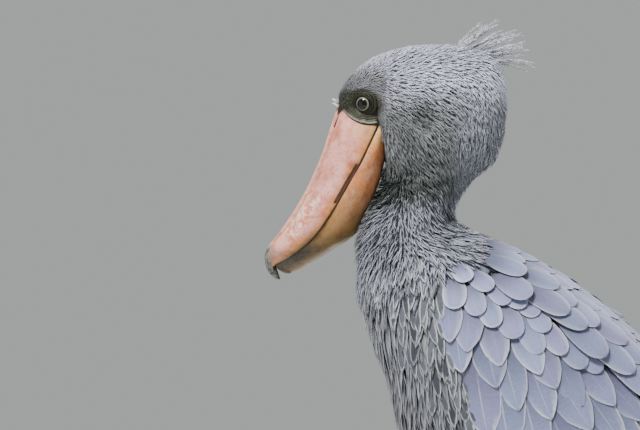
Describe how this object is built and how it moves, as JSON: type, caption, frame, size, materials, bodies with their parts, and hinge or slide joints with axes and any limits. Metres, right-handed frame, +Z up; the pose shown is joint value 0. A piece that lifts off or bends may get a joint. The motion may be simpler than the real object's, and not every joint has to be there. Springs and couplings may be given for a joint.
{
  "type": "shoebill",
  "caption": "Large grey wading bird standing at rest with folded wings, a small nape crest and a huge, deep, hook-tipped bill held down against the neck.",
  "frame": {"origin": "on the floor, under the middle of the bounding box", "axes": "+Z up, the bird faces -X and its left side faces -Y"},
  "size_m": [0.769, 0.3082, 1.1702],
  "materials": {
    "head_plumage": "soft downy feathers",
    "plumage": "matt layered feathers",
    "flight_feathers": "smooth matt feather vanes",
    "bill_horn": "mottled horn with a low gloss",
    "eye": "wet gloss",
    "leg_scales": "matt scaled skin",
    "claw_horn": "dull horn"
  },
  "bodies": {
    "root": {"head": "head_plumage", "neck": "head_plumage", "torso": "plumage", "tail": "flight_feathers", "crest": "head_plumage", "bill_upper": "bill_horn", "bill_lower": "bill_horn", "eye_left": "eye", "wing_left": "flight_feathers", "thigh_left": "plumage", "leg_left": "leg_scales", "toe_left_middle": "leg_scales", "claw_left_middle": "claw_horn", "toe_left_inner": "leg_scales", "claw_left_inner": "claw_horn", "toe_left_outer": "leg_scales", "claw_left_outer": "claw_horn", "toe_left_hind": "leg_scales", "claw_left_hind": "claw_horn", "eye_right": "eye", "wing_right": "flight_feathers", "thigh_right": "plumage", "leg_right": "leg_scales", "toe_right_middle": "leg_scales", "claw_right_middle": "claw_horn", "toe_right_inner": "leg_scales", "claw_right_inner": "claw_horn", "toe_right_outer": "leg_scales", "claw_right_outer": "claw_horn", "toe_right_hind": "leg_scales", "claw_right_hind": "claw_horn"}
  },
  "joints": []
}
